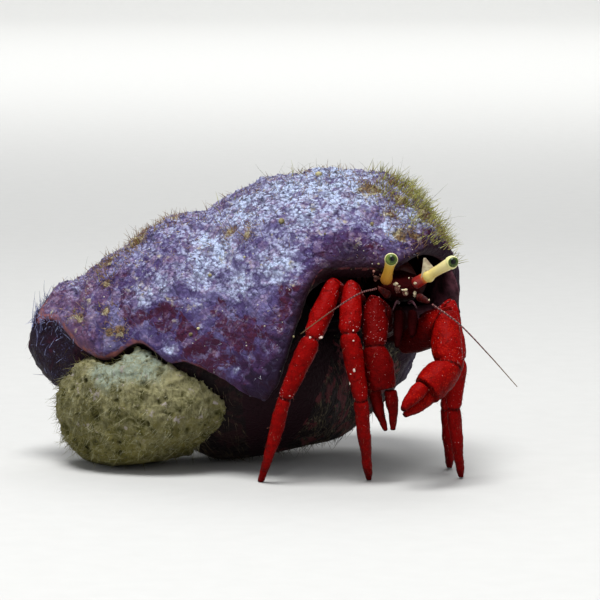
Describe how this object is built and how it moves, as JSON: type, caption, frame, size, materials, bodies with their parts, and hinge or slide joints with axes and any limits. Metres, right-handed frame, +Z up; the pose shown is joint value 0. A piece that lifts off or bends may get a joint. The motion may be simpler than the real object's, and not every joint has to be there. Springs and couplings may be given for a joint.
{
  "type": "hermit crab",
  "caption": "Red reef hermit crab in a purple, sponge-grown sea-snail shell, life size, standing with legs, claws, eyestalks and feelers out of the shell's mouth.",
  "frame": {"origin": "on the floor under the middle of the whole model, feelers included", "axes": "+Z up; the crab looks towards -Y and a little to +X; the shell's tip points to -X"},
  "size_m": [0.0509, 0.0402, 0.0312],
  "materials": {
    "crust_purple": "rough stony crust",
    "sponge_cream": "matte, porous",
    "scarlet": "satin, wet",
    "deep_red": "satin, wet",
    "abdomen_rose": "soft, moist",
    "eye_yellow": "satin",
    "eye_green": "glossy",
    "feeler_brown": "satin",
    "joint_cream": "satin"
  },
  "bodies": {
    "root": {"shell": "crust_purple", "shell_sponge": "sponge_cream", "carapace_shield": "deep_red", "carapace_rear": "abdomen_rose", "thorax": "deep_red", "abdomen_front": "abdomen_rose", "abdomen_middle": "abdomen_rose", "abdomen_rear": "abdomen_rose", "tail_fan": "abdomen_rose", "eyestalk_right": "eye_yellow", "cornea_right": "eye_green", "eyestalk_left": "eye_yellow", "cornea_left": "eye_green", "eye_scale_right": "joint_cream", "eye_scale_left": "joint_cream", "antennule_right": "joint_cream", "antennule_left": "joint_cream", "antenna_base_right": "deep_red", "antenna_right": "feeler_brown", "antenna_base_left": "deep_red", "antenna_left": "feeler_brown", "mouthpart_right": "deep_red", "mouthpart_left": "deep_red", "claw_right_merus": "deep_red", "claw_right_carpus": "deep_red", "claw_right_palm": "deep_red", "claw_right_finger": "deep_red", "claw_left_merus": "scarlet", "claw_left_carpus": "scarlet", "claw_left_palm": "scarlet", "claw_left_finger": "scarlet", "leg_right_rear_merus": "scarlet", "leg_right_rear_carpus": "scarlet", "leg_right_rear_propodus": "scarlet", "leg_right_rear_dactyl": "scarlet", "leg_right_front_merus": "scarlet", "leg_right_front_carpus": "scarlet", "leg_right_front_propodus": "scarlet", "leg_right_front_dactyl": "scarlet", "leg_left_front_merus": "scarlet", "leg_left_front_carpus": "scarlet", "leg_left_front_propodus": "scarlet", "leg_left_front_dactyl": "scarlet", "leg_left_rear_merus": "scarlet", "leg_left_rear_carpus": "scarlet", "leg_left_rear_propodus": "scarlet", "leg_left_rear_dactyl": "scarlet", "leg_fourth_right": "deep_red", "leg_fourth_left": "deep_red", "leg_fifth_right": "deep_red", "leg_fifth_left": "deep_red"}
  },
  "joints": []
}
